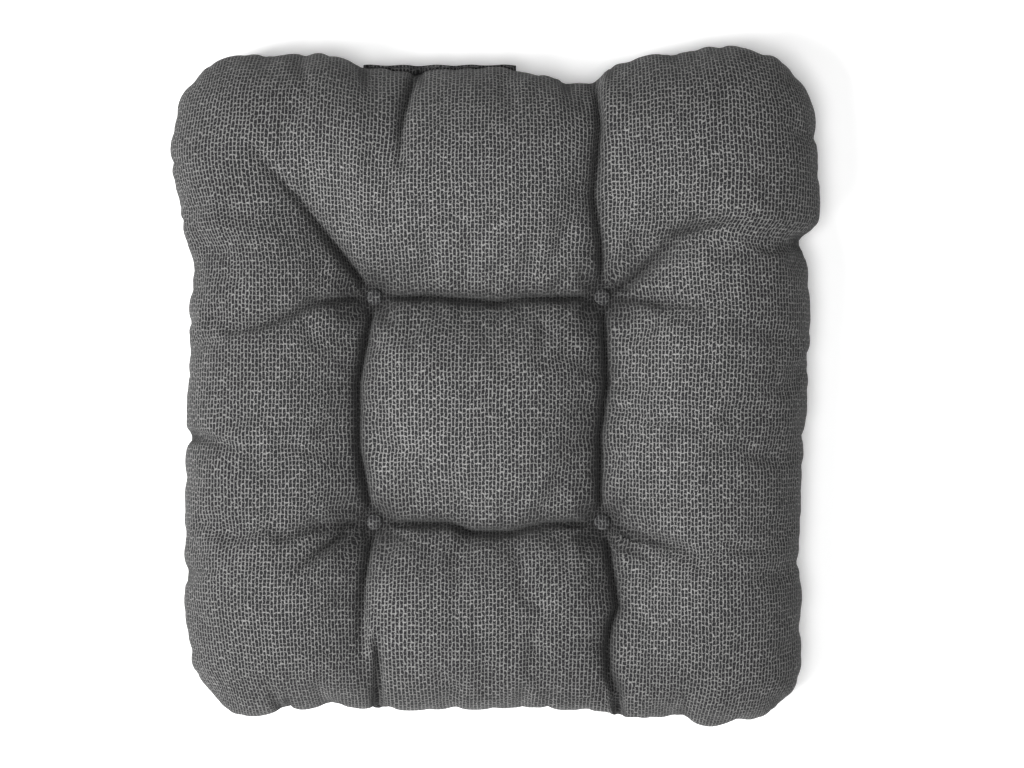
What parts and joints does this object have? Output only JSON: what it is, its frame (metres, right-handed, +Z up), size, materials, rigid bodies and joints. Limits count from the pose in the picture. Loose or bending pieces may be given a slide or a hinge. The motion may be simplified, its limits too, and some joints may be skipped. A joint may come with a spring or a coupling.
{
  "type": "chair seat pad",
  "caption": "Square overstuffed chair seat pad with a knife-edge seam, pulled in by cloth-covered tufting buttons that leave deep dimples and creases between full pillows.",
  "frame": {"origin": "on the seat, under the middle of the pad's outline", "axes": "+Z up, +Y towards the rear edge, +X to the right as seen from above with the rear edge up"},
  "size_m": [0.46, 0.484, 0.09],
  "materials": {
    "cover_cloth": "matte coarse woven polyester in two greys, dark columns under light cross floats",
    "button_cloth": "the cover's cloth, gathered over the button",
    "fibre": "loose white polyester fibre",
    "thread": "spun polyester sewing thread",
    "twine": "waxed tufting twine",
    "button_shell": "pressed, satin",
    "button_back": "moulded nylon with the wire shank in it"
  },
  "bodies": {
    "root": {"top_panel": "cover_cloth", "bottom_panel": "cover_cloth", "fibre_fill": "fibre", "seam_thread": "thread", "closing_thread": "thread", "twine_rear_left": "twine", "twine_rear_right": "twine", "twine_front_left": "twine", "twine_front_right": "twine", "top_button_cloth_rear_left": "button_cloth", "bottom_button_cloth_rear_left": "button_cloth", "top_button_cloth_rear_right": "button_cloth", "bottom_button_cloth_rear_right": "button_cloth", "top_button_cloth_front_left": "button_cloth", "bottom_button_cloth_front_left": "button_cloth", "top_button_cloth_front_right": "button_cloth", "bottom_button_cloth_front_right": "button_cloth", "top_button_shell_rear_left": "button_shell", "bottom_button_shell_rear_left": "button_shell", "top_button_shell_rear_right": "button_shell", "bottom_button_shell_rear_right": "button_shell", "top_button_shell_front_left": "button_shell", "bottom_button_shell_front_left": "button_shell", "top_button_shell_front_right": "button_shell", "bottom_button_shell_front_right": "button_shell", "top_button_back_rear_left": "button_back", "bottom_button_back_rear_left": "button_back", "top_button_back_rear_right": "button_back", "bottom_button_back_rear_right": "button_back", "top_button_back_front_left": "button_back", "bottom_button_back_front_left": "button_back", "top_button_back_front_right": "button_back", "bottom_button_back_front_right": "button_back"}
  },
  "joints": []
}
